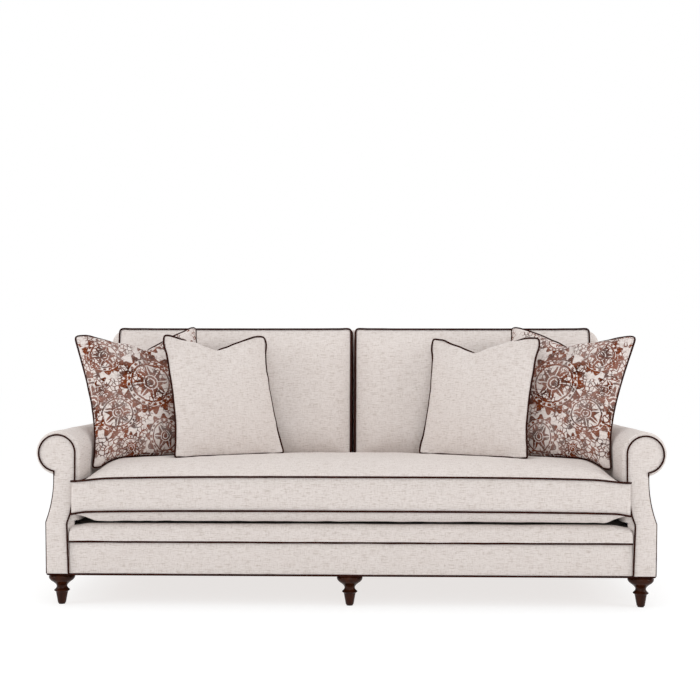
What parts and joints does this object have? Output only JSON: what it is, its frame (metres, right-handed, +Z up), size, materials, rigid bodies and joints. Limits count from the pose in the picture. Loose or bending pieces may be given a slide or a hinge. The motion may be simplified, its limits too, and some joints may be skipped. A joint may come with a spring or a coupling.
{
  "type": "three-seater sofa",
  "caption": "Rolled-arm upholstered sofa on turned wooden feet, with a long loose seat cushion, loose back cushions, throw pillows and dark piping.",
  "frame": {"origin": "on the floor, at the middle of the overall width and depth", "axes": "+X along the sofa's width, to the right of someone who faces it; +Y to its back; +Z up"},
  "size_m": [2.178, 0.9796, 0.9875],
  "materials": {
    "frame_wood": "sawn and planed, unfinished",
    "foot_wood": "dark brown stain, gloss lacquer",
    "foot_steel": "zinc plated",
    "glide_plastic": "moulded",
    "spring_steel": "drawn wire",
    "deck_fabric": "plain weave",
    "padding": "foam and fibre under cloth",
    "oatmeal_fabric": "slubby linen weave",
    "printed_fabric": "off-white linen weave with a brown print",
    "welt_fabric": "dark brown covered cord"
  },
  "bodies": {
    "frame": {"front_rail": "frame_wood", "rear_rail": "frame_wood", "seat_cross_rails": "frame_wood", "corner_blocks": "frame_wood", "back_centre_post": "frame_wood", "back_top_rail": "frame_wood", "back_lower_rail": "frame_wood", "arm_tack_rails": "frame_wood", "side_rail_left": "frame_wood", "side_rail_right": "frame_wood", "front_post_left": "frame_wood", "front_post_right": "frame_wood", "back_post_left": "frame_wood", "back_post_right": "frame_wood", "arm_rail_left": "frame_wood", "arm_rail_right": "frame_wood", "foot_front_left": "foot_wood", "foot_front_centre": "foot_wood", "foot_front_right": "foot_wood", "foot_rear_left": "foot_wood", "foot_rear_centre": "foot_wood", "foot_rear_right": "foot_wood", "foot_plates": "foot_steel", "foot_bolts": "foot_steel", "foot_glides": "glide_plastic", "seat_springs": "spring_steel", "spring_clips": "spring_steel", "back_webbing": "deck_fabric", "deck_cloth": "deck_fabric", "dust_cover": "deck_fabric", "deck_pad": "padding", "inside_back_pad": "padding", "back_top_pad": "padding", "deck_lip": "oatmeal_fabric", "front_band": "oatmeal_fabric", "outside_back": "oatmeal_fabric", "arm_pad_left": "oatmeal_fabric", "arm_pad_right": "oatmeal_fabric", "outside_arm_left": "oatmeal_fabric", "outside_arm_right": "oatmeal_fabric", "arm_facing_left": "oatmeal_fabric", "arm_facing_right": "oatmeal_fabric", "lip_welt": "welt_fabric", "base_welt": "welt_fabric", "facing_welts": "welt_fabric"},
    "seat_cushion": {"seat_cushion_cover": "oatmeal_fabric", "seat_cushion_core": "padding", "seat_cushion_welts": "welt_fabric"},
    "back_cushion_left": {"back_cushion_left": "oatmeal_fabric", "back_cushion_welts_left": "welt_fabric"},
    "pillow_inner_left": {"pillow_inner_left": "oatmeal_fabric", "pillow_welt_inner_left": "welt_fabric"},
    "pillow_outer_left": {"pillow_outer_left": "printed_fabric", "pillow_welt_outer_left": "welt_fabric"},
    "back_cushion_right": {"back_cushion_right": "oatmeal_fabric", "back_cushion_welts_right": "welt_fabric"},
    "pillow_inner_right": {"pillow_inner_right": "oatmeal_fabric", "pillow_welt_inner_right": "welt_fabric"},
    "pillow_outer_right": {"pillow_outer_right": "printed_fabric", "pillow_welt_outer_right": "welt_fabric"}
  },
  "joints": [
    {"name": "seat_cushion_slide", "type": "slide", "parent": "frame", "child": "seat_cushion", "axis": [0, -1, 0], "range_m": [0, 0.8]},
    {"name": "back_cushion_left_lift", "type": "slide", "parent": "frame", "child": "back_cushion_left", "axis": [0, 0.1392, 0.9903], "range_m": [0, 0.55]},
    {"name": "back_cushion_right_lift", "type": "slide", "parent": "frame", "child": "back_cushion_right", "axis": [0, 0.1392, 0.9903], "range_m": [0, 0.55]},
    {"name": "pillow_inner_left_lift", "type": "slide", "parent": "frame", "child": "pillow_inner_left", "axis": [0, -0.7071, 0.7071], "range_m": [0, 0.5]},
    {"name": "pillow_inner_right_lift", "type": "slide", "parent": "frame", "child": "pillow_inner_right", "axis": [0, -0.7071, 0.7071], "range_m": [0, 0.5]},
    {"name": "pillow_outer_left_lift", "type": "slide", "parent": "frame", "child": "pillow_outer_left", "axis": [-0.12, 0.139, 0.983], "range_m": [0, 0.55]},
    {"name": "pillow_outer_right_lift", "type": "slide", "parent": "frame", "child": "pillow_outer_right", "axis": [0.12, 0.139, 0.983], "range_m": [0, 0.55]}
  ]
}
